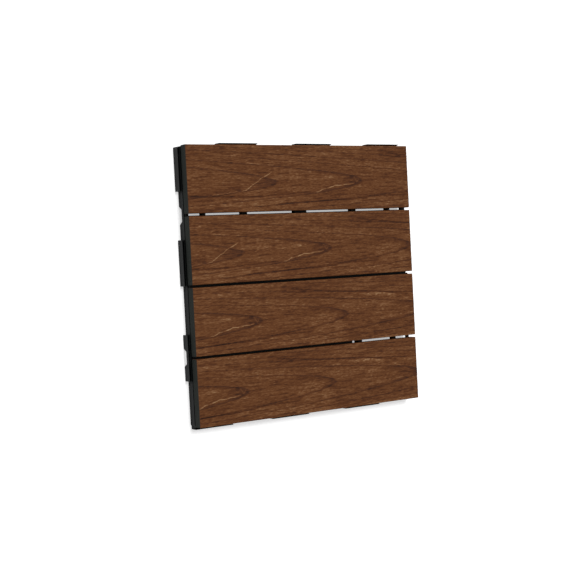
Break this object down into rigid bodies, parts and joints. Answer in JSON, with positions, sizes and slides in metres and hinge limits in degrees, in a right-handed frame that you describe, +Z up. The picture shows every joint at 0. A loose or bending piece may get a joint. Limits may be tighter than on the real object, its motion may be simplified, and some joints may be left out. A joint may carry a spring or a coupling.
{
  "type": "interlocking deck tile",
  "caption": "Square outdoor floor tile: brown wood-plastic composite slats screwed to a black moulded base with clips on every side, laid without glue.",
  "frame": {"origin": "on the ground under the middle of the tile", "axes": "+Z up through the slats, X along the slats, Y across them, with slat_1 at +Y"},
  "size_m": [0.306, 0.306, 0.022],
  "materials": {
    "base_plastic": "fine moulded texture",
    "slat_composite": "embossed wood grain on a wood-plastic composite",
    "screw_steel": "zinc plated"
  },
  "bodies": {
    "root": {"base": "base_plastic", "slat_1": "slat_composite", "slat_2": "slat_composite", "slat_3": "slat_composite", "slat_4": "slat_composite", "slat_screws": "screw_steel"}
  },
  "joints": []
}
